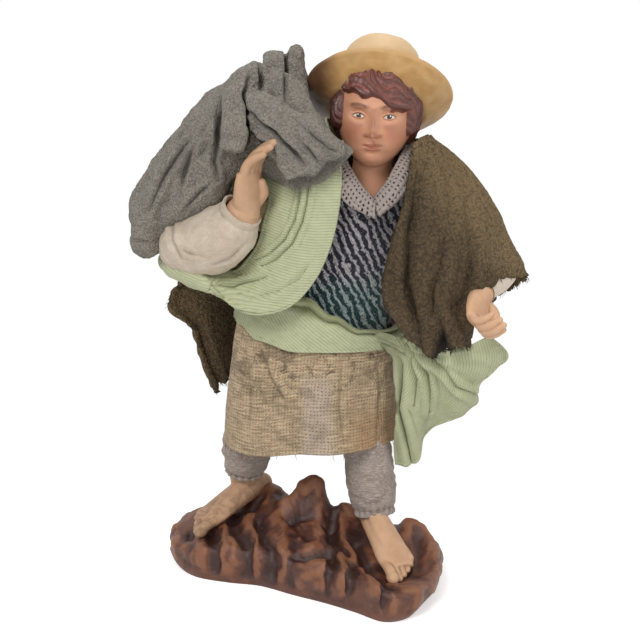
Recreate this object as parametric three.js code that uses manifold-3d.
// A dressed santon: a shepherd with a blanket over the right shoulder, standing on a rock.
// Head, hands and legs are fired clay, the body is tow wound on iron wire, and the clothes are
// stiffened cloth. Millimetres, +Z up, the figure faces -Y, and the origin is the middle of the
// rock's flat underside.
import * as THREE from "three";
import { mergeVertices } from "three/addons/utils/BufferGeometryUtils.js";
import Module from "manifold-3d";

const wasm = await Module();
wasm.setup();

// Driving dimensions
const clearance = 0.3;
const wireDiameter = 1.6;
const linenThickness = 1.2;
const knitThickness = 1.4;
const burlapThickness = 1.3;
const woolThickness = 1.8;
const mantleThickness = 1.3;

const rockRim = 5;
const rockTop = 13;
const wireSocketDepth = 11;

const torsoBottom = 74;
const torsoTop = 140;
const torsoHalfWidth = 24;
const torsoHalfDepth = 13;

const footLength = 36.5;
const footWidth = 12.8;
const ankleRadius = 5;
const thighRadius = 9;
const shinTop = 44;

const upperArmRadius = 5.4;
const forearmRadius = 4.6;
const palmLength = 11;
const palmWidth = 12;
const palmThickness = 6;
const fingerLength = 12.5;
const fingerRadius = 1.75;

const headHalfWidth = 12.4;
const headHalfDepth = 14.6;
const headHalfHeight = 17.2;
const hairThickness = 1.9;
const neckRadius = 6.6;

const hatRimRadius = 23.9;
const hatCrownRadius = 15.4;
const hatCrownHeight = 25;
const hatBrimRise = 5.6;
const hatBrimThickness = 1.8;
const hatTilt = 41.5;

const skirtHem = 46;
const skirtTop = 93;
const vestHem = 87;
const vestNeckline = 131;

// Points that several pieces share
const point = (x, y, z) => new THREE.Vector3(x, y, z);
const headCentre = point(23.5, 6, 160.5);
const neckBase = point(22.5, 10.5, 131);
const rightShoulder = point(-1, 15, 132);
const rightElbow = point(-37, 12.5, 117);
const rightWrist = point(-18.2, -8, 132.5);
const leftShoulder = point(41, 13.5, 138.5);
const leftElbow = point(61, 12, 113.5);
const leftWrist = point(61, -11, 105.5);
const rightAnkle = point(-22, 27, 26);
const rightKnee = point(-20.5, 22.5, 44);
const rightHip = point(-8, 15.5, 73);
const leftAnkle = point(24.4, 5, 23.5);
const leftKnee = point(21.8, 8.5, 44);
const leftHip = point(15, 14, 73);

const colours = {
  rock: 0x6b3d2c,
  skin: 0xc0906f,
  hair: 0x6b3c38,
  straw: 0xc79a5c,
  wire: 0x55524e,
  tow: 0xb39b6e,
  knit: 0x5c6064,
  collar: 0xa79e98,
  green: 0xb2ba8b,
  brown: 0x66523d,
  grey: 0x7f7a70,
  burlap: 0xa18a6c,
  linen: 0xd2c3b0,
  trousers: 0x8d8077,
};

// Solids

const through = (points) => new THREE.CatmullRomCurve3(points, false, "centripetal");
const degrees = THREE.MathUtils.degToRad;
const blend = THREE.MathUtils.lerp;

// A closed surface as a solid for the boolean cuts, with its faces pointing out.
function asSolid(geometry) {
  const bare = new THREE.BufferGeometry();
  bare.setAttribute("position", geometry.getAttribute("position"));
  bare.setIndex(geometry.index);
  const merged = mergeVertices(bare, 1e-3);
  const vertProperties = merged.attributes.position.array;
  const kept = [];
  for (let i = 0; i < merged.index.count; i += 3) {
    const [a, b, c] = [0, 1, 2].map((k) => merged.index.getX(i + k));
    if (a !== b && b !== c && c !== a) kept.push([a, b, c]);
  }
  const build = (faces) =>
    new wasm.Manifold(new wasm.Mesh({ numProp: 3, vertProperties, triVerts: new Uint32Array(faces.flat()) }));
  const solid = build(kept);
  return solid.volume() < 0 ? build(kept.map(([a, b, c]) => [a, c, b])) : solid;
}

function asGeometry(solid) {
  const mesh = solid.getMesh();
  const positions = new Float32Array(mesh.numVert * 3);
  for (let i = 0; i < mesh.numVert; i++) {
    const start = i * mesh.numProp;
    positions.set(mesh.vertProperties.subarray(start, start + 3), i * 3);
  }
  const geometry = new THREE.BufferGeometry();
  geometry.setAttribute("position", new THREE.BufferAttribute(positions, 3));
  geometry.setIndex(new THREE.BufferAttribute(mesh.triVerts, 1));
  geometry.computeVertexNormals();
  return geometry;
}

// Quads between neighbouring rings of points; the rings are closed, and the last ring can meet the first.
function ringFaces(rings, meetsItself) {
  const count = rings[0].length;
  const last = meetsItself ? rings.length : rings.length - 1;
  const faces = [];
  for (let i = 0; i < last; i++) {
    const a = i * count;
    const b = ((i + 1) % rings.length) * count;
    for (let j = 0; j < count; j++) {
      const k = (j + 1) % count;
      faces.push(a + j, a + k, b + k, a + j, b + k, b + j);
    }
  }
  return faces;
}

function geometryOf(points, faces) {
  const geometry = new THREE.BufferGeometry().setFromPoints(points);
  geometry.setIndex(faces);
  return geometry;
}

// A solid skinned over closed rings. Its ends are strips across the ring, which also close a thin bent one.
function loft(rings) {
  const count = rings[0].length;
  const start = (rings.length - 1) * count;
  const faces = ringFaces(rings, false);
  for (let i = 0, k = count - 1; k - i > 1; i++, k--) {
    faces.push(i + 1, i, k, start + i, start + i + 1, start + k);
    if (k - i > 2) faces.push(k - 1, i + 1, k, start + i + 1, start + k - 1, start + k);
  }
  return asSolid(geometryOf(rings.flat(), faces));
}

// A garment that is open at both ends: the outer rings, then the inner ones back to the start.
function shell(outer, inner) {
  const rings = [...outer, ...inner.reverse()];
  return asSolid(geometryOf(rings.flat(), ringFaces(rings, true)));
}

// Rings round a curve. Each radius is [across, along the other way], shared out over the path.
function ringsAlong({ path, radii, sides = 10, steps = 8, across = point(1, 0, 0) }, grow = 0, lengthen = grow) {
  const curve = through(path);
  const rings = [];
  for (let i = 0; i <= steps; i++) {
    const t = i / steps;
    const centre = curve.getPoint(t);
    const along = curve.getTangent(t);
    if (i === 0) centre.addScaledVector(along, -lengthen);
    if (i === steps) centre.addScaledVector(along, lengthen);
    const side = across.clone().addScaledVector(along, -across.dot(along)).normalize();
    const other = along.clone().cross(side);
    const place = t * (radii.length - 1);
    const k = Math.min(Math.floor(place), radii.length - 2);
    const [a, b] = [0, 1].map((n) => blend(radii[k][n], radii[k + 1][n], place - k) + grow);
    const ring = [];
    for (let j = 0; j < sides; j++) {
      const turn = (2 * Math.PI * j) / sides;
      ring.push(centre.clone().addScaledVector(side, a * Math.cos(turn)).addScaledVector(other, b * Math.sin(turn)));
    }
    rings.push(ring);
  }
  return rings;
}

const limb = (form, grow = 0, lengthen = grow) => loft(ringsAlong(form, grow, lengthen));
const sleeve = (form, wall, grow = 0) => shell(ringsAlong(form, grow), ringsAlong(form, -wall - grow, grow));

function ellipsoid(centre, radii, segments = [10, 7], grow = 0) {
  const geometry = new THREE.SphereGeometry(1, ...segments);
  geometry.scale(...radii.map((r) => r + grow));
  geometry.translate(centre.x, centre.y, centre.z);
  return asSolid(geometry);
}

const largest = (solid) => solid.decompose().sort((a, b) => b.volume() - a.volume())[0];
const join = (solids) => solids.reduce((sum, next) => sum.add(next));

// A sheet of cloth through a net of points, net[u][v], with a fold(u, v) that lifts it off the net.
function sheet({ net, columns, rows, thickness, fold = () => 0 }, grow = 0) {
  const alongV = net.map((line) => through(line).getPoints(rows));
  const middle = [];
  for (let j = 0; j <= rows; j++) middle.push(through(alongV.map((line) => line[j])).getPoints(columns));
  const at = (j, i) =>
    middle[Math.min(Math.max(j, 0), rows)][Math.min(Math.max(i, 0), columns)];
  const normal = (j, i) =>
    at(j, i + 1).clone().sub(at(j, i - 1)).cross(at(j + 1, i).clone().sub(at(j - 1, i))).normalize();
  const lifted = middle.map((line, j) =>
    line.map((p, i) => p.clone().addScaledVector(normal(j, i), fold(i / columns, j / rows))),
  );
  const outwards = (p, next) => p.addScaledVector(p.clone().sub(next).normalize(), grow);
  if (grow) {
    lifted.forEach((line) => {
      outwards(line[0], line[1].clone());
      outwards(line[columns], line[columns - 1].clone());
    });
    for (let i = 0; i <= columns; i++) {
      outwards(lifted[0][i], lifted[1][i].clone());
      outwards(lifted[rows][i], lifted[rows - 1][i].clone());
    }
  }
  const half = thickness / 2 + grow;
  const face = (side) =>
    lifted.map((line, j) => line.map((p, i) => p.clone().addScaledVector(normal(j, i), side * half)));
  // Each row becomes a ring: out along the front face and back along the other.
  const front = face(1);
  const back = face(-1);
  return loft(front.map((line, j) => [...line, ...back[j].slice().reverse()]));
}

// Pieces, each cut clear of the neighbours that it rests on

const figure = new THREE.Group();
const groups = {};
for (const name of ["stand", "armature", "limbs", "head", "clothes"]) {
  groups[name] = new THREE.Group();
  figure.add(groups[name]);
}
groups.head.position.copy(headCentre);
const shapes = new Map();

function add(name, group, colour, shape, neighbours = []) {
  const solid = neighbours.reduce((left, other) => left.subtract(shapes.get(other)(clearance)), shape(0));
  shapes.set(name, shape);
  // The rounding to 32 bits can pinch off a crumb, so the largest body is taken again after it.
  const geometry = asGeometry(largest(asSolid(asGeometry(largest(solid)))));
  const offset = groups[group].position;
  geometry.translate(-offset.x, -offset.y, -offset.z);
  geometry.computeBoundingBox();
  const centre = geometry.boundingBox.getCenter(point(0, 0, 0));
  geometry.translate(-centre.x, -centre.y, -centre.z);
  const mesh = new THREE.Mesh(
    geometry,
    new THREE.MeshStandardMaterial({ color: colours[colour], roughness: colour === "wire" ? 0.4 : 0.85, metalness: colour === "wire" ? 0.8 : 0, flatShading: true }),
  );
  mesh.name = name;
  mesh.position.copy(centre);
  groups[group].add(mesh);
}

// The body under the clothes

// Middle, half width and half depth of the dressed body at a few heights.
const bodyStations = [
  { z: 40, x: 2.5, y: 14.5, wide: torsoHalfWidth + 0.8, deep: torsoHalfDepth + 4.5 },
  { z: 62, x: 2.5, y: 14.5, wide: torsoHalfWidth + 0.3, deep: torsoHalfDepth + 3 },
  { z: 78, x: 3.5, y: 14, wide: torsoHalfWidth, deep: torsoHalfDepth + 1 },
  { z: 90, x: 4.6, y: 14, wide: torsoHalfWidth - 0.5, deep: torsoHalfDepth },
  { z: 101, x: 7.5, y: 14, wide: torsoHalfWidth - 2.5, deep: torsoHalfDepth - 0.3 },
  { z: 113, x: 11.5, y: 13.5, wide: torsoHalfWidth - 3, deep: torsoHalfDepth - 0.3 },
  { z: 125, x: 16, y: 13, wide: torsoHalfWidth - 3, deep: torsoHalfDepth - 1 },
  { z: 134, x: 19.5, y: 12.5, wide: torsoHalfWidth - 5, deep: torsoHalfDepth - 2.2 },
  { z: 141, x: 22, y: 11.8, wide: torsoHalfWidth - 11, deep: torsoHalfDepth - 4 },
  { z: 150, x: 23, y: 10, wide: neckRadius + 1.5, deep: neckRadius + 1.5 },
];
const bodySides = 22;
const bodyMiddle = through(bodyStations.map((s) => point(s.x, s.y, s.z)));
const bodyReach = through(bodyStations.map((s) => point(s.wide, s.deep, s.z)));

function bodyAt(z) {
  const stations = bodyStations.length - 1;
  const top = bodyStations.findIndex((s) => s.z > z);
  const k = top < 0 ? stations - 1 : Math.max(top - 1, 0);
  const t = (k + (z - bodyStations[k].z) / (bodyStations[k + 1].z - bodyStations[k].z)) / stations;
  const middle = bodyMiddle.getPoint(Math.min(Math.max(t, 0), 1));
  const reach = bodyReach.getPoint(Math.min(Math.max(t, 0), 1));
  return { x: middle.x, y: middle.y, wide: reach.x, deep: reach.y };
}

// A point over the body's surface: 0 degrees is the front, 90 the figure's left side.
function onBody(angle, z, lift) {
  const s = bodyAt(z);
  const turn = degrees(angle);
  return point(s.x + (s.wide + lift) * Math.sin(turn), s.y - (s.deep + lift) * Math.cos(turn), z);
}

// Rings round the body from one height to another; each height and the lift can vary with the angle.
function bodyRings(from, to, steps, sides, lift) {
  const rings = [];
  for (let i = 0; i <= steps; i++) {
    const ring = [];
    for (let j = 0; j < sides; j++) {
      const angle = (360 * j) / sides - 180;
      const z = blend(from(angle), to(angle), i / steps);
      ring.push(onBody(angle, z, lift(angle, i / steps)));
    }
    rings.push(ring);
  }
  return rings;
}

// A value given at a few angles round the body, blended smoothly between them.
function round(stops) {
  return (angle) => {
    const next = stops.findIndex(([at]) => at >= angle);
    if (next <= 0) return stops[0][1];
    const [a, low] = stops[next - 1];
    const [b, high] = stops[next];
    return blend(low, high, THREE.MathUtils.smoothstep(angle, a, b));
  };
}

function garment(from, to, steps, inside, wall, fold = () => 0) {
  return (grow) => {
    const top = (angle) => to(angle) + grow;
    const bottom = (angle) => from(angle) - grow;
    const outer = bodyRings(bottom, top, steps, bodySides, (a, t) => inside(a, t) + wall + fold(a, t) + grow);
    const inner = bodyRings(bottom, top, steps, bodySides, (a, t) => inside(a, t) + fold(a, t) - grow);
    return shell(outer, inner);
  };
}

// Wires

const legWirePath = [
  point(-22, 27.5, rockTop + rockRim - wireSocketDepth),
  rightAnkle,
  rightKnee,
  rightHip,
  point(3.5, 14, torsoBottom + 12),
  leftHip,
  leftKnee,
  leftAnkle,
  point(24.8, 4.5, rockTop + rockRim - wireSocketDepth),
];
const spineWirePath = [
  point(4.2, 14 + wireDiameter + clearance, torsoBottom + 3),
  point(12, 14.5, 112),
  point(20, 13, 131),
  point(23, 9, headCentre.z - 5),
];
// Points down an arm; the bend of the elbow is rounded.
const clayFrom = 0.45;
const armPoints = (shoulder, elbow, wrist) => [
  shoulder,
  shoulder.clone().lerp(elbow, 0.45),
  elbow.clone().lerp(shoulder, 0.2),
  elbow.clone().lerp(wrist, 0.2),
  elbow.clone().lerp(wrist, clayFrom),
  elbow.clone().lerp(wrist, 0.75),
  wrist,
];
const rightArm = armPoints(rightShoulder, rightElbow, rightWrist);
const leftArm = armPoints(leftShoulder, leftElbow, leftWrist);
const armWirePath = [
  ...rightArm.slice().reverse(),
  point(20, 13 + wireDiameter + clearance, 133.5),
  ...leftArm,
];
const wire = (path, steps) => (grow) =>
  limb({ path, radii: [[wireDiameter / 2, wireDiameter / 2], [wireDiameter / 2, wireDiameter / 2]], sides: 5, steps, across: point(0.1, 1, 0.1) }, grow);
add("leg_wire", "armature", "wire", wire(legWirePath, 22));
add("spine_wire", "armature", "wire", wire(spineWirePath, 8), ["leg_wire"]);
add("arm_wire", "armature", "wire", wire(armWirePath, 24), ["spine_wire"]);

// Clay legs with bare feet

// The foot lies along +Y with its heel behind the ankle, sole at z = 0.
function foot(bigToeSide, grow) {
  const half = footWidth / 2;
  const sole = limb(
    {
      path: [point(0, -0.19 * footLength, 3.8), point(0, 0, 4.8), point(0, 0.25 * footLength, 4.1), point(0, 0.5 * footLength, 2.9), point(0, 0.63 * footLength, 2.2)],
      radii: [[half * 0.56, 3.4], [half * 0.74, 4.6], [half * 0.86, 3.9], [half * 0.97, 2.5], [half * 0.84, 1.7]],
      sides: 12,
      steps: 8,
    },
    grow,
  );
  const toes = [];
  for (let n = 0; n < 5; n++) {
    const radius = n === 0 ? 2.1 : 1.45 - 0.06 * n;
    const x = bigToeSide * (half - 2 - (n * (footWidth - 3.6)) / 4 - (n > 0 ? 0.3 : 0)) * 0.96;
    const reach = footLength * (0.71 - 0.0095 * n * n - (n > 1 ? 0.008 * n : 0));
    toes.push(ellipsoid(point(x, reach, radius + 0.35), [radius, 3.8 - 0.2 * n, radius], [6, 4], grow));
  }
  return join([sole, ...toes]);
}

// Turns a foot or a hand to its own directions and moves it to its place.
function turned(solid, xAxis, yAxis, zAxis, origin) {
  const matrix = new THREE.Matrix4().makeBasis(xAxis, yAxis, zAxis).setPosition(origin);
  return solid.transform(matrix.toArray());
}

function standing(heading, slope, bigToeSide, heel) {
  const forward = point(Math.sin(degrees(heading)) * Math.cos(degrees(slope)), -Math.cos(degrees(heading)) * Math.cos(degrees(slope)), -Math.sin(degrees(slope)));
  const right = forward.clone().cross(point(0, 0, 1)).normalize();
  const up = right.clone().cross(forward);
  return (grow) => turned(foot(bigToeSide, grow), right, forward, up, heel);
}

const shin = (ankle, knee, sole) => (grow) =>
  limb(
    {
      path: [sole.clone().lerp(ankle, 0.45), ankle, ankle.clone().lerp(knee, 0.5), knee.clone().setZ(shinTop)],
      radii: [[ankleRadius * 0.82, ankleRadius * 0.9], [ankleRadius, ankleRadius], [ankleRadius + 0.7, ankleRadius + 0.7], [ankleRadius + 1, ankleRadius + 1]],
      sides: 10,
      steps: 5,
    },
    grow,
  );
const rightSole = point(-19.5, 28, 18.4);
const leftSole = point(24, 4.4, 15.4);
const rightFoot = standing(-47, 13, -1, rightSole);
const leftFoot = standing(21, 16, 1, leftSole);
add("right_leg_clay", "limbs", "skin", (grow) => join([rightFoot(grow), shin(rightAnkle, rightKnee, rightSole)(grow)]), ["leg_wire"]);
add("left_leg_clay", "limbs", "skin", (grow) => join([leftFoot(grow), shin(leftAnkle, leftKnee, leftSole)(grow)]), ["leg_wire"]);

// The rock

const rockOutline = new THREE.CatmullRomCurve3(
  [
    [-49, 21], [-46.5, 9], [-40, 0.5], [-28, -4.5], [-16, -7.5], [-4, -15], [8, -22], [18, -29], [28, -36.5],
    [35.5, -34], [42, -21], [47, -7], [47.5, 7], [42, 17], [29, 22], [13, 27], [-2, 33], [-17, 38.5], [-33, 40], [-44.5, 33],
  ].map(([x, y]) => point(x, y, 0)),
  true,
);
const rockMounds = [
  { x: -13, y: 29, rise: 11, reach: 8 },
  { x: 4.2, y: 15.5, rise: 13.5, reach: 7 },
  { x: -6, y: 17, rise: 6, reach: 8 },
  { x: 16, y: 14, rise: 7.5, reach: 7 },
  { x: -29, y: 22, rise: 3.2, reach: 13 },
  { x: 37, y: 5, rise: 5.5, reach: 8 },
  { x: -2, y: 3, rise: 5, reach: 13 },
  { x: 14, y: -8, rise: 1.5, reach: 11 },
  { x: 30, y: -16, rise: -6, reach: 10 },
  { x: -41, y: 13, rise: -3, reach: 8 },
];
// Folds that fan down the rock: height (a crease is below zero), width, and the line seen from above
const rockFolds = [
  [2.4, 2.8, [[-7, 14.5], [0, 14.2], [6, 13.6]]],
  [-3.4, 2, [[9.6, 19], [9.6, 13], [9.4, 7]]],
  [-2.4, 1.7, [[-6.5, 9.4], [0, 7.2], [5.5, 6.2]]],
  [-2.2, 2.2, [[-15.8, 24], [-19.8, 20], [-26, 15]]],
  [1.8, 2.6, [[-28.5, 12], [-28, 2], [-26.5, -6]]],
  [-2.2, 2.2, [[-32.5, 9], [-31.5, -1], [-33, -6]]],
  [-1.5, 1.9, [[-25, 11], [-20.5, -1], [-20.5, -9]]],
  [1.2, 1.7, [[-24.5, 2], [-22.5, -7]]],
  [2.3, 2.4, [[-20.5, 18], [-16.8, 3], [-15, -10]]],
  [-2.5, 1.9, [[-16.5, 13], [-13.4, -3], [-10.5, -13]]],
  [1.5, 3.2, [[-12.5, 20], [-9, 11], [-7.5, -2], [-6, -13]]],
  [-1.3, 1.7, [[-3.4, -1], [-4, -8], [-5, -15]]],
  [-1.9, 1.9, [[-5, 8], [-1.5, 1.2], [2.4, -5.4]]],
  [1.9, 3, [[3.5, 5], [5, -3], [3, -10]]],
  [-2.9, 1.9, [[8, 6], [9, 0], [11, -5], [14, -11]]],
  [1.6, 2.2, [[12.5, 7], [14, -1], [17.5, -11]]],
  [-3.2, 2.1, [[17, -2], [21, -13], [25, -26], [30, -32]]],
  [-2.6, 1.7, [[-3.6, -12.4], [0, -13.6], [4, -13], [8.5, -10.5]]],
  [2.4, 3, [[0, -17.5], [6, -19]]],
  [-2, 1.6, [[9.4, -13], [9.6, -19], [8, -23]]],
  [1.7, 2, [[12.4, -14], [13.2, -21], [12, -26]]],
  [-1.8, 1.6, [[16.4, -16], [16.6, -23], [15.5, -29]]],
  [1.6, 2.8, [[20.5, -19], [22, -27], [23.5, -34]]],
  [-2.2, 1.3, [[26.5, -33], [27, -38]]],
  [2.4, 2.5, [[36, 7], [41.5, 5], [44.5, 0], [45, -9], [42, -20], [37, -30]]],
  [-1.6, 2, [[39.6, -1], [40, -11], [37, -22]]],
  [-1.8, 2.1, [[-41, 15], [-41.5, 3]]],
  [1.4, 2.4, [[-45.5, 20], [-45, 9]]],
];

function rockHeight(x, y) {
  let z = rockTop;
  for (const m of rockMounds) z += m.rise * Math.exp(-((x - m.x) ** 2 + (y - m.y) ** 2) / m.reach ** 2);
  return z;
}

function rockFold(x, y) {
  const p = point(x, y, 0);
  let total = 0;
  for (const [rise, width, line] of rockFolds) {
    const away = line.slice(1).map((end, k) => {
      const side = new THREE.Line3(point(...line[k], 0), point(...end, 0));
      return side.closestPointToPoint(p, true, point(0, 0, 0)).distanceTo(p);
    });
    total += rise * Math.exp(-((Math.min(...away) / width) ** 2));
  }
  return total;
}

// Each ring has its reach from the middle and its share of the rock's height there.
function rock() {
  const middle = point(-2, 6, 0);
  const sides = 92;
  const steps = [
    [0.02, 1], [0.11, 1], [0.2, 1], [0.29, 1], [0.38, 1], [0.47, 1], [0.56, 1], [0.65, 1], [0.74, 0.99],
    [0.83, 0.98], [0.91, 0.89], [0.97, 0.68], [1, 0.36], [0.985, 0.12], [0.95, 0], [0.02, 0],
  ];
  const rings = steps.map(([reach, share]) => {
    const wall = THREE.MathUtils.smoothstep(reach, 0.75, 1) * THREE.MathUtils.smoothstep(share, 0, 0.4);
    const ring = [];
    for (let j = 0; j < sides; j++) {
      const edge = rockOutline.getPoint(j / sides);
      const p = edge.clone().lerp(middle, 1 - reach);
      const fold = rockFold(p.x, p.y);
      const top = rockHeight(p.x, p.y) + fold * (1 - 0.5 * wall);
      p.addScaledVector(edge.clone().sub(middle).normalize(), fold * 0.8 * wall);
      ring.push(p.setZ(share > 0 ? rockRim * Math.min(share * 2, 1) + (top - rockRim) * share : 0));
    }
    return ring;
  });
  return loft(rings);
}
add("rock_base", "stand", "rock", rock, ["leg_wire", "right_leg_clay", "left_leg_clay"]);

// Clay arms with hands

// The hand lies along +Z from the wrist, palm towards -Y and thumb towards thumbSide.
function hand(thumbSide, curl, grow) {
  const half = palmWidth / 2;
  const parts = [
    limb(
      {
        path: [point(0, 0, -2), point(0, -0.3, palmLength * 0.4), point(0, -0.6, palmLength)],
        radii: [[forearmRadius * 0.8, palmThickness * 0.62], [half, palmThickness / 2], [half * 0.94, palmThickness * 0.4]],
        sides: 8,
        steps: 4,
      },
      grow,
    ),
  ];
  for (let n = 0; n < 4; n++) {
    const x = thumbSide * (half - fingerRadius - (n * (palmWidth - 2 * fingerRadius)) / 3);
    const reach = fingerLength * [0.9, 1, 0.94, 0.76][n];
    const fold = degrees(curl * (1 + 0.08 * n));
    const knuckle = point(x * 0.94, -0.6, palmLength - 1.2);
    const bent = knuckle.clone().add(point(thumbSide * 0.2, -Math.sin(fold * 0.45), Math.cos(fold * 0.45)).multiplyScalar(reach * 0.55));
    const tip = bent.clone().add(point(thumbSide * 0.1, -Math.sin(fold), Math.cos(fold)).multiplyScalar(reach * 0.5));
    const radius = fingerRadius * (n === 3 ? 0.85 : 1);
    parts.push(limb({ path: [knuckle, bent, tip], radii: [[radius, radius], [radius * 0.95, radius * 0.95], [radius * 0.6, radius * 0.6]], sides: 5, steps: 3 }, grow));
  }
  const thumbRoot = point(thumbSide * (half - 1.8), -0.6, palmLength * 0.2);
  const thumbBend = thumbRoot.clone().add(point(thumbSide * 3.6, -2.2, 3.6));
  const thumbTip = thumbBend.clone().add(point(thumbSide * 1.4, -1.4, 4.2));
  parts.push(limb({ path: [thumbRoot, thumbBend, thumbTip], radii: [[2.1, 2], [1.8, 1.7], [1, 1]], sides: 6, steps: 4 }, grow));
  return join(parts);
}

function held(thumbSide, curl, fingers, palm, wrist) {
  const z = fingers.clone().normalize();
  const y = palm.clone().addScaledVector(z, -palm.dot(z)).normalize().negate();
  const x = y.clone().cross(z);
  return (grow) => turned(hand(thumbSide, curl, grow), x, y, z, wrist);
}

const forearm = (arm) => (grow) =>
  limb(
    {
      path: arm.slice(4),
      radii: [[forearmRadius, forearmRadius], [forearmRadius * 0.96, forearmRadius * 0.96], [forearmRadius * 0.78, forearmRadius * 0.74]],
      sides: 8,
      steps: 3,
    },
    grow,
  );
const rightHand = held(1, 52, point(0.06, -0.02, 1), point(0.9, -0.44, 0), rightWrist);
const leftHand = held(-1, 140, point(-0.1, -0.86, -0.5), point(-0.95, 0.05, -0.2), leftWrist);
add("right_hand_clay", "limbs", "skin", (grow) => join([rightHand(grow), forearm(rightArm)(grow)]), ["arm_wire"]);
add("left_hand_clay", "limbs", "skin", (grow) => join([leftHand(grow), forearm(leftArm)(grow)]), ["arm_wire"]);

// Clay head with its neck, hair and hat

const headTurn = new THREE.Matrix4().makeRotationFromEuler(new THREE.Euler(degrees(5), degrees(3), degrees(-5), "ZXY"));

// Clay pushed out (or, where it is negative, in) over spots of the face: x, z, reach across, reach up.
const faceTouches = [
  { x: 0, z: 0.2, wide: 1.5, high: 3.6, push: 2.6 },
  { x: 0, z: -3.4, wide: 1.8, high: 1.3, push: 2.4 },
  { x: 1.8, z: -3.9, wide: 1, high: 0.9, push: 1.1, paired: true },
  { x: 5, z: 2.3, wide: 2.3, high: 1.5, push: -1.7, paired: true },
  { x: 4.9, z: 1.7, wide: 1.5, high: 0.9, push: 1, paired: true },
  { x: 4.8, z: 4.6, wide: 3.2, high: 1, push: 0.9, paired: true },
  { x: 6.4, z: -2.6, wide: 3, high: 2.6, push: 0.9, paired: true },
  { x: 0, z: -6.9, wide: 2.6, high: 0.8, push: 1.3 },
  { x: 0, z: -7.9, wide: 3, high: 0.35, push: -0.5 },
  { x: 0, z: -8.9, wide: 2.3, high: 0.8, push: 1.3 },
  { x: 0, z: -13.6, wide: 3.2, high: 2.4, push: 1.5 },
];

// A point of the head's surface for a direction from its middle.
function headSurface(direction, lift) {
  const jaw = direction.z < 0 ? 1 - 0.2 * direction.z * direction.z : 1;
  const front = Math.max(-direction.y, 0);
  const p = point(
    direction.x * (headHalfWidth + lift) * jaw,
    direction.y * (headHalfDepth + lift) * (1 - 0.12 * front),
    direction.z * (headHalfHeight + lift),
  );
  if (front <= 0) return p;
  for (const spot of faceTouches) {
    for (const side of spot.paired ? [-1, 1] : [1]) {
      const away = ((p.x - side * spot.x) / spot.wide) ** 2 + ((p.z - spot.z) / spot.high) ** 2;
      p.y -= spot.push * Math.exp(-away) * Math.min(front * 2, 1);
    }
  }
  return p;
}

// A ball whose points sit closer together at the front, shaped by a function of each direction.
function shapedBall(across, up, surface) {
  const geometry = new THREE.SphereGeometry(1, across, up);
  const positions = geometry.getAttribute("position");
  for (let i = 0; i < positions.count; i++) {
    const ball = point(positions.getX(i), positions.getY(i), positions.getZ(i));
    const raised = Math.asin(THREE.MathUtils.clamp(ball.y, -1, 1));
    const away = Math.atan2(ball.x, ball.z);
    const turn = away - 0.42 * Math.sin(away);
    const flat = Math.cos(raised);
    const p = surface(point(Math.sin(turn) * flat, -Math.cos(turn) * flat, Math.sin(raised)));
    positions.setXYZ(i, p.x, p.y, p.z);
  }
  return asSolid(geometry);
}

const intoHead = (solid) => solid.transform(headTurn.clone().setPosition(headCentre).toArray());
const skull = (grow) => intoHead(shapedBall(24, 18, (d) => headSurface(d, grow)));
const neck = (grow) =>
  limb(
    {
      path: [neckBase, neckBase.clone().lerp(headCentre, 0.4).add(point(0, 1.2, 0)), headCentre.clone().add(point(0, 3, -7))],
      radii: [[neckRadius + 3.4, neckRadius + 1.6], [neckRadius, neckRadius], [neckRadius, neckRadius + 0.6]],
      sides: 12,
      steps: 4,
    },
    grow,
  );
add("head_clay", "head", "skin", (grow) => join([skull(grow), neck(grow)]), ["spine_wire", "arm_wire"]);

// Hair is thick outside the face's window and lies under the skin inside it.
function hairSurface(d, grow) {
  const wave = Math.sin(9 * Math.atan2(d.x, -d.y)) * Math.sin(11 * d.z);
  const above = THREE.MathUtils.smoothstep(d.z, 0.34, 0.48);
  const aside = THREE.MathUtils.smoothstep(Math.abs(d.x), 0.8, 0.92);
  const behind = THREE.MathUtils.smoothstep(d.y, -0.2, 0.1);
  const low = 1 - THREE.MathUtils.smoothstep(d.z, -0.62, -0.42);
  const covered = Math.max(above, Math.max(aside * THREE.MathUtils.smoothstep(d.z, -0.25, 0), behind)) * (1 - low);
  return headSurface(d, covered * (hairThickness + 0.35 * wave + 1.2) - 1.2 + grow);
}
add("hair_clay", "head", "hair", (grow) => intoHead(shapedBall(20, 12, (d) => hairSurface(d, grow))), ["head_clay"]);

// The hat's axis leans back; its brim is a shallow dish and its crown a rounded cone.
const hatAxis = point(0.09, Math.sin(degrees(hatTilt)), Math.cos(degrees(hatTilt))).normalize();
const hatSeat = headCentre.clone().add(point(0.8, 3.6, 2));
function hat(grow) {
  const rim = hatRimRadius + grow;
  const crown = hatCrownRadius + grow;
  const top = hatCrownHeight + grow;
  const profile = [
    [0, top],
    [crown * 0.42, top - 0.5],
    [crown * 0.68, top - 2.4],
    [crown * 0.82, top - 7],
    [crown * 0.93, top - 14],
    [crown + 0.6, 2],
    [blend(crown, rim, 0.5), 0.3 + hatBrimRise * 0.36],
    [rim - 0.7, hatBrimRise + hatBrimThickness * 0.4],
    [rim, hatBrimRise],
    [rim - 0.5, hatBrimRise - hatBrimThickness * 0.6],
    [blend(crown, rim, 0.5), hatBrimRise * 0.36 - hatBrimThickness],
    [crown, -0.6 - grow],
    [0, -0.6 - grow],
  ];
  const geometry = new THREE.LatheGeometry(profile.map(([r, t]) => new THREE.Vector2(r, t)), 24);
  const turn = new THREE.Quaternion().setFromUnitVectors(point(0, 1, 0), hatAxis);
  geometry.applyQuaternion(turn);
  geometry.translate(hatSeat.x, hatSeat.y, hatSeat.z);
  return asSolid(geometry);
}
add("hat_clay", "head", "straw", hat, ["head_clay", "hair_clay"]);

// Tow body

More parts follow.
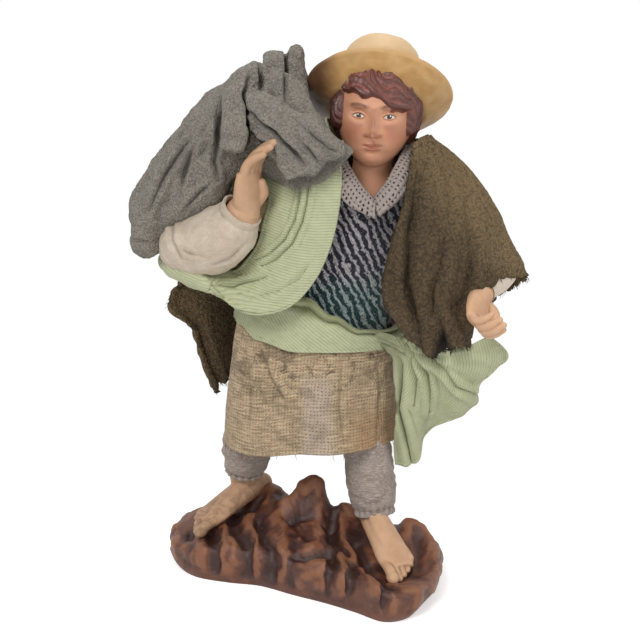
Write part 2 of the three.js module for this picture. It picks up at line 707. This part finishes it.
function torso(grow) {
  return loft(bodyRings(() => torsoBottom - grow, () => torsoTop + grow, 7, bodySides, () => grow));
}
add("torso_tow", "armature", "tow", torso, ["leg_wire", "spine_wire", "arm_wire", "head_clay"]);

const upperArm = (arm) => (grow) =>
  limb(
    {
      path: arm.slice(0, 5),
      radii: [[upperArmRadius, upperArmRadius], [upperArmRadius, upperArmRadius], [upperArmRadius, upperArmRadius], [forearmRadius, forearmRadius]],
      sides: 8,
      steps: 7,
      across: point(0, 1, 0),
    },
    grow,
  );
add("right_arm_tow", "armature", "tow", upperArm(rightArm), ["torso_tow", "arm_wire", "right_hand_clay"]);
add("left_arm_tow", "armature", "tow", upperArm(leftArm), ["torso_tow", "arm_wire", "left_hand_clay"]);

const thigh = (knee, hip) => (grow) =>
  limb(
    {
      path: [knee.clone().setZ(shinTop + clearance), knee.clone().lerp(hip, 0.5), hip.clone().setZ(torsoBottom - clearance)],
      radii: [[ankleRadius + 1, ankleRadius + 1], [thighRadius * 0.86, thighRadius * 0.86], [thighRadius, thighRadius]],
      sides: 10,
      steps: 4,
    },
    grow,
  );
add("right_thigh_tow", "armature", "tow", thigh(rightKnee, rightHip), ["leg_wire", "torso_tow", "right_leg_clay"]);
add("left_thigh_tow", "armature", "tow", thigh(leftKnee, leftHip), ["leg_wire", "torso_tow", "left_leg_clay"]);

// Clothes, from the inside out

const rightCuffHeight = 30;
const leftCuffHeight = 22;
const trouserLeg = (ankle, knee, hip, cuff) => (grow) => {
  const lift = clearance + linenThickness;
  const bottom = ankle.clone().lerp(knee, (cuff - ankle.z) / (knee.z - ankle.z));
  return sleeve(
    {
      path: [bottom, bottom.clone().lerp(knee, 0.55), knee, knee.clone().lerp(hip, 0.5), hip.clone().setZ(torsoBottom - 2)],
      radii: [
        [ankleRadius + lift + 0.4, ankleRadius + lift + 0.4],
        [ankleRadius + lift + 1.6, ankleRadius + lift + 1.6],
        [ankleRadius + lift + 1.4, ankleRadius + lift + 1.4],
        [thighRadius * 0.9 + lift, thighRadius * 0.9 + lift],
        [thighRadius + lift, thighRadius + lift],
      ],
      sides: 12,
      steps: 6,
    },
    linenThickness,
    grow,
  );
};
add("right_trouser_leg", "clothes", "trousers", trouserLeg(rightAnkle, rightKnee, rightHip, rightCuffHeight), ["right_thigh_tow", "right_leg_clay", "rock_base", "torso_tow"]);
add("left_trouser_leg", "clothes", "trousers", trouserLeg(leftAnkle, leftKnee, leftHip, leftCuffHeight), ["left_thigh_tow", "left_leg_clay", "rock_base", "torso_tow", "right_trouser_leg"]);

const rightSleeveForms = [
  {
    path: [point(-19, 16, 127), point(-40, 14, 118.5)],
    radii: [[upperArmRadius + 2.6, upperArmRadius + 2.6], [upperArmRadius + 3.4, upperArmRadius + 3.4]],
    sides: 10,
    steps: 2,
    across: point(0, 1, 0),
  },
  {
    path: [point(-42, 14.5, 117.5), point(-35, 7, 117.5), point(-27, -1, 121.5), point(-20.5, -6.8, 131.2)],
    radii: [[5.2, 5.6], [9.8, 9.8], [11.2, 11], [7.2, 7.2]],
    sides: 10,
    steps: 6,
    across: point(0.2, 1, 0),
  },
];
function bellSleeve(grow) {
  const outside = join(rightSleeveForms.map((form) => limb(form, grow)));
  const inside = rightSleeveForms.map((form, n) => limb(form, -linenThickness - grow, n === 0 ? 0.5 : 0.5));
  return outside.subtract(join(inside));
}
add("right_shirt_sleeve", "clothes", "linen", bellSleeve, ["right_arm_tow", "right_hand_clay", "torso_tow"]);
const leftSleeveForm = {
  path: [point(61.6, -8, 107.2), point(64.5, 0, 110.5), leftElbow.clone().add(point(0, 0, 0.3)), leftShoulder.clone().lerp(leftElbow, 0.55)],
  radii: [[6.4, 6.2], [7, 6.8], [upperArmRadius + 1.9, upperArmRadius + 1.9], [upperArmRadius + linenThickness + clearance, upperArmRadius + linenThickness + clearance]],
  sides: 10,
  steps: 5,
  across: point(1, 0.2, 0),
};
add("left_shirt_sleeve", "clothes", "linen", (grow) => sleeve(leftSleeveForm, linenThickness, grow), ["left_arm_tow", "left_hand_clay", "torso_tow"]);

const vestLift = 2 * clearance;
const skirtLift = vestLift + knitThickness + 2 * clearance;
const sashLift = skirtLift + burlapThickness + 2 * clearance;
const neckOpening = round([[-180, 141], [-60, 141], [-22, 138], [4, vestNeckline], [30, 138], [70, 141], [180, 141]]);
add(
  "knit_vest",
  "clothes",
  "knit",
  garment(() => vestHem, neckOpening, 5, () => vestLift, knitThickness),
  ["torso_tow", "head_clay", "right_arm_tow", "left_arm_tow", "right_shirt_sleeve", "left_shirt_sleeve", "arm_wire"],
);

const skirtFold = (a, t) => (1 - t) * (0.9 * Math.sin(degrees(a * 4 + 40)) + 0.4 * Math.sin(degrees(a * 6)));
const hem = round([[-180, skirtHem], [-90, skirtHem], [-45, skirtHem - 0.5], [0, skirtHem + 2.4], [60, skirtHem + 2], [180, skirtHem]]);
add(
  "burlap_skirt",
  "clothes",
  "burlap",
  garment(hem, () => skirtTop, 5, (a, t) => skirtLift + 1.4 * (1 - t), burlapThickness, skirtFold),
  ["torso_tow", "knit_vest", "right_trouser_leg", "left_trouser_leg"],
);

const sashTop = round([[-180, 98], [-90, 100], [-45, 103], [-14, 102], [8, 96], [28, 90.8], [50, 89.5], [100, 91], [180, 98]]);
const sashBottom = round([[-180, 85], [-90, 92], [-62, 90], [-40, 86], [-12, 83.2], [90, 82], [180, 85]]);
const sashFold = (a, t) => 0.9 * Math.sin(Math.PI * t) + 0.5 * Math.sin(degrees(a * 3)) * t;
add("green_sash", "clothes", "green", garment(sashBottom, sashTop, 4, () => sashLift, mantleThickness, sashFold), ["knit_vest", "burlap_skirt"]);

// A sheet between two rails; the bulge lifts its middle.
const between = (stations, across) =>
  stations.map(([from, to, bulge]) => {
    const line = [];
    for (let k = 0; k <= across; k++) {
      const t = k / across;
      line.push(point(...from).lerp(point(...to), t).addScaledVector(point(...bulge), Math.sin(Math.PI * t)));
    }
    return line;
  });

const collarStations = [
  [[22.5, -5.2, 134], [24, -7.4, 130], [0, -0.5, 0]],
  [[27, -4, 140], [31.5, -6, 136], [0, -0.8, 0.5]],
  [[31, 0.5, 146.5], [37, -0.5, 143], [0.5, -0.6, 0.6]],
  [[33, 8, 150], [39, 9, 146.5], [0.8, 0, 0.8]],
  [[28, 17, 150.5], [31, 22, 147], [0.4, 0.8, 0.8]],
  [[19, 18, 150], [16, 23, 146.5], [-0.3, 0.8, 0.8]],
  [[13.5, 9, 148.5], [8.5, 10, 144], [-0.8, 0, 0.8]],
  [[14.5, 1, 145], [10, -1.5, 140.5], [-0.6, -0.6, 0.6]],
  [[18, -4, 139.5], [14.5, -6.6, 134], [0, -0.8, 0.5]],
  [[22.5, -6.4, 134.2], [23.4, -8.4, 129.6], [0, -0.5, 0]],
];
add(
  "knit_collar",
  "clothes",
  "collar",
  (grow) => sheet({ net: between(collarStations.slice(1), 2), columns: 20, rows: 2, thickness: knitThickness }, grow),
  ["head_clay", "hair_clay", "hat_clay", "torso_tow", "knit_vest", "left_arm_tow", "right_arm_tow"],
);

const mantleStations = [
  [[13, 23.5, 146], [-11, 26.8, 130], [0, 2, 1.5]],
  [[10, 16, 153], [-9, 20.5, 139], [0, 2, 3.5]],
  [[11, 6.5, 153], [-9.5, 9, 140], [0, -1, 3.6]],
  [[12, -3, 145.5], [-11, 2, 134.5], [0, -3, 2.4]],
  [[11.5, -7.2, 133], [-12.5, -0.5, 126], [0, -4, 0]],
  [[8.6, -9.2, 120], [-15, 0, 118], [0, -4, 0]],
  [[3.5, -10.4, 109], [-19.5, 1.5, 112], [-0.5, -4.2, -1]],
  [[-4, -11.5, 101.5], [-23.5, 3, 109], [-1, -3.4, -1.6]],
  [[-16, -10, 99.5], [-31, 6, 109], [-1.4, -2.6, -1.6]],
  [[-28.5, -3, 100], [-38.5, 10, 109.5], [-1.6, -1.8, -1.4]],
  [[-39.5, 7.5, 101], [-44.5, 16, 110.5], [-1.4, -1, -1]],
  [[-46, 19, 103.5], [-46, 24, 112], [-1.6, 0.6, 0]],
];
const mantleFold = (u, v) =>
  0.9 * Math.exp(-(((v - 0.42) / 0.1) ** 2)) * Math.sin(Math.PI * Math.min(u * 1.15, 1)) - 0.5 * Math.exp(-(((v - 0.58) / 0.08) ** 2));
add(
  "green_mantle",
  "clothes",
  "green",
  (grow) => sheet({ net: between(mantleStations, 4), columns: 20, rows: 7, thickness: mantleThickness, fold: mantleFold }, grow),
  ["torso_tow", "head_clay", "hair_clay", "hat_clay", "knit_vest", "knit_collar", "green_sash", "burlap_skirt", "right_shirt_sleeve", "right_arm_tow", "right_hand_clay"],
);

// The blanket: one gathered mass, given by its upper and lower edges and its half depth, with fat folds on it.
const blanketEdges = [
  [[-56, 8, 119], [-51.5, 8, 112], 3],
  [[-58, 8, 131], [-47, 8, 119.5], 6],
  [[-52, 8, 142], [-42, 8, 122], 7.5],
  [[-41.5, 7, 155], [-34, 5, 126], 8.5],
  [[-34, 6, 164.5], [-26, 3, 132], 9],
  [[-21.3, 5, 173.5], [-21.8, 3, 140], 9],
  [[-12, 4, 175], [-10.6, 1, 140], 9],
  [[-1, 3, 172], [-2.5, -2, 137], 8],
  [[5, -2, 161], [6.7, -6, 141.5], 5],
  [[15.8, -8, 151.2], [12.5, -8, 147], 1.8],
];
const blanketFolds = [
  { path: [point(-13, 0, 168), point(-28, 0, 160), point(-39.5, 2, 148), point(-49, 4, 134), point(-53.5, 5, 122)], radii: [[5, 5], [6.6, 6.4], [6, 6], [5, 4.4], [2.6, 2.6]], sides: 8, steps: 6, across: point(0, 1, 0) },
  { path: [point(-15.5, 1, 176), point(-19.5, -5, 168), point(-21.5, -8, 160), point(-21.5, -8, 152.5)], radii: [[4, 3.6], [5, 4.6], [4.8, 4.2], [2.6, 2.4]], sides: 8, steps: 5 },
  { path: [point(-9.2, 13, 178.5), point(-9.6, 11, 170), point(-10, 6, 160)], radii: [[3.8, 3.4], [4.6, 4.4], [6, 6]], sides: 8, steps: 3 },
  { path: [point(-2.6, 14, 180), point(-2.4, 12, 171), point(-3, 7, 160)], radii: [[2.4, 2.8], [3.2, 3.8], [4.5, 6]], sides: 8, steps: 3 },
  { path: [point(-16, -4.5, 166), point(-8, -8, 162), point(2, -10, 156), point(12, -10.5, 150.5)], radii: [[3.6, 4], [4.6, 5.6], [4.2, 6], [1.8, 2.2]], sides: 8, steps: 5, across: point(0, 1, 0) },
  { path: [point(-10, -6, 158), point(-6.5, -9, 149), point(-4, -10, 140.5)], radii: [[3.4, 5], [3.6, 5.6], [2.4, 4.6]], sides: 8, steps: 4, across: point(0, 1, 0) },
  { path: [point(4, 12, 148), point(-10, 15, 152), point(-26, 14, 148), point(-38, 14, 135)], radii: [[5, 6], [9, 9], [9, 9], [5, 5]], sides: 10, steps: 5, across: point(0, 1, 0) },
];
function blanket(grow) {
  const steps = 10;
  const sides = 12;
  const [upper, lower] = [0, 1].map((n) => through(blanketEdges.map((edge) => point(...edge[n]))).getPoints(steps));
  const depth = through(blanketEdges.map((edge, n) => point(n, edge[2], 0))).getPoints(steps);
  const middle = upper.map((p, i) => p.clone().add(lower[i]).divideScalar(2));
  const rings = middle.map((centre, i) => {
    const half = upper[i].clone().sub(centre);
    const up = half.clone().normalize();
    const front = point(0, 1, 0).addScaledVector(up, -up.y).normalize();
    const next = i === 0 ? 1 : i - 1;
    const end = i === 0 || i === steps ? centre.clone().sub(middle[next]).setLength(grow) : point(0, 0, 0);
    return [...Array(sides).keys()].map((j) => {
      const turn = (2 * Math.PI * j) / sides;
      return centre
        .clone()
        .add(end)
        .addScaledVector(up, (half.length() + grow) * Math.cos(turn))
        .addScaledVector(front, (depth[i].y + grow) * Math.sin(turn));
    });
  });
  return join([loft(rings), ...blanketFolds.map((form) => limb(form, grow))]);
}
add(
  "grey_blanket",
  "clothes",
  "grey",
  blanket,
  ["head_clay", "hair_clay", "hat_clay", "knit_vest", "knit_collar", "green_mantle", "right_shirt_sleeve", "right_hand_clay", "right_arm_tow", "torso_tow", "arm_wire"],
);

const shawlNet = [
  [[35.5, -1, 151], [33, -8, 139], [28.5, -11.5, 122], [25.5, -11.5, 104], [32, -13, 93], [42, -13, 84]],
  [[37, 0, 152], [37, -6, 140], [35, -9.5, 123], [33.5, -9.5, 106], [38, -12, 96], [45, -14, 86]],
  [[38.5, 1, 152.5], [43.5, -6, 141], [45.5, -12.5, 125], [44.5, -15, 108], [46, -16, 98], [49, -15.5, 89]],
  [[39.2, 2, 152.5], [46.5, -5, 141], [50, -10.5, 126], [50.5, -12.5, 110], [50, -12, 98], [53.5, -10, 87]],
  [[40, 3, 152.5], [49, -3, 140], [55, -8.5, 127], [57, -12, 116], [56.5, -13.5, 111], [55.5, -14.5, 107]],
  [[41, 6, 152], [52.5, 7, 140.5], [62, 4.5, 128], [69.5, 1, 117], [73, -2, 112.5], [74, -3, 109]],
  [[40, 10, 151.5], [52, 20, 139.5], [61.5, 23.5, 123], [69, 23, 109], [70, 22, 100], [68, 21, 92]],
  [[35, 18, 150.5], [42, 27, 139], [48, 32, 120], [50, 35, 100], [49, 37, 84], [48, 37, 72]],
  [[25, 24.5, 149.5], [24, 29.5, 138], [22, 33, 118], [18, 37, 98], [14, 39, 80], [12, 40, 65]],
  [[14, 26, 147], [5, 30, 135], [-3, 32, 118], [-9, 36, 98], [-11, 38.5, 80], [-12, 39.5, 62]],
  [[6, 25.5, 143.5], [-12, 30, 131], [-24, 30, 115], [-33, 31.5, 99], [-34, 32, 83], [-30, 33, 62]],
  [[1, 25, 141], [-18, 29, 127], [-32, 27, 113], [-44, 27, 98], [-42, 26, 84], [-33, 28, 61]],
].map((line) => line.map((p) => point(...p)));
const shawlFold = (u, v) => 1.5 * v * Math.sin(2 * Math.PI * 9 * u) * THREE.MathUtils.smoothstep(u, 0.42, 0.55);
add(
  "brown_shawl",
  "clothes",
  "brown",
  (grow) => sheet({ net: shawlNet, columns: 28, rows: 7, thickness: woolThickness, fold: shawlFold }, grow),
  ["head_clay", "hair_clay", "hat_clay", "torso_tow", "knit_vest", "knit_collar", "burlap_skirt", "green_sash", "green_mantle", "grey_blanket", "left_shirt_sleeve", "left_hand_clay", "left_arm_tow", "right_shirt_sleeve", "right_arm_tow"],
);

// The tail starts on the sash at the hip and spreads out below the shawl's corner.
const tailNet = [
  [[25.5, 1.6, 84.5], [31.4, 1.2, 81], [33.2, 1, 73], [34.4, 2.4, 60], [31.6, 4.5, 48], [31.8, 5, 39.2]],
  [[25.2, 1, 85.3], [32, -0.4, 82], [36, -1.6, 73.4], [39.5, -0.6, 61], [37.4, 3, 49], [38, 5, 39]],
  [[24.9, 0.6, 86], [32.6, -1.4, 83], [39, -3.4, 75.4], [43.5, -3, 65], [43.6, 1, 56], [44, 5, 50]],
  [[24.6, 0.2, 86.8], [33.2, -2.2, 84], [41.5, -5, 77.6], [47.5, -4, 70], [50.5, -1, 62.5], [50.8, 4, 57.2]],
  [[24.3, -0.2, 87.5], [33.6, -2.8, 85], [43.5, -6.5, 80], [51.5, -7, 75], [56.5, -3.5, 69], [59, 1.5, 63.8]],
  [[24.1, -0.6, 88.2], [34, -3.4, 86], [44.5, -7.5, 82.3], [53.5, -9, 80], [60, -7, 77.5], [64, -2, 75.2]],
  [[23.9, -0.9, 88.8], [34.3, -3.8, 86.8], [45, -8.5, 84], [54, -10, 84], [61.5, -8, 84.6], [67, -4, 84]],
  [[23.7, -1.1, 89.3], [34.6, -4, 87.4], [45.5, -8.8, 85.2], [54, -10, 87], [60.5, -8, 89], [65, -5, 89.4]],
].map((line) => line.map((p) => point(...p)));
const tailFold = (u, v) => 1.1 * v * Math.sin(2 * Math.PI * 2.6 * u + 0.6);
add(
  "green_tail",
  "clothes",
  "green",
  (grow) => sheet({ net: tailNet, columns: 18, rows: 9, thickness: mantleThickness, fold: tailFold }, grow),
  ["torso_tow", "knit_vest", "burlap_skirt", "green_sash", "brown_shawl", "left_trouser_leg", "right_trouser_leg", "left_hand_clay"],
);

export default figure;
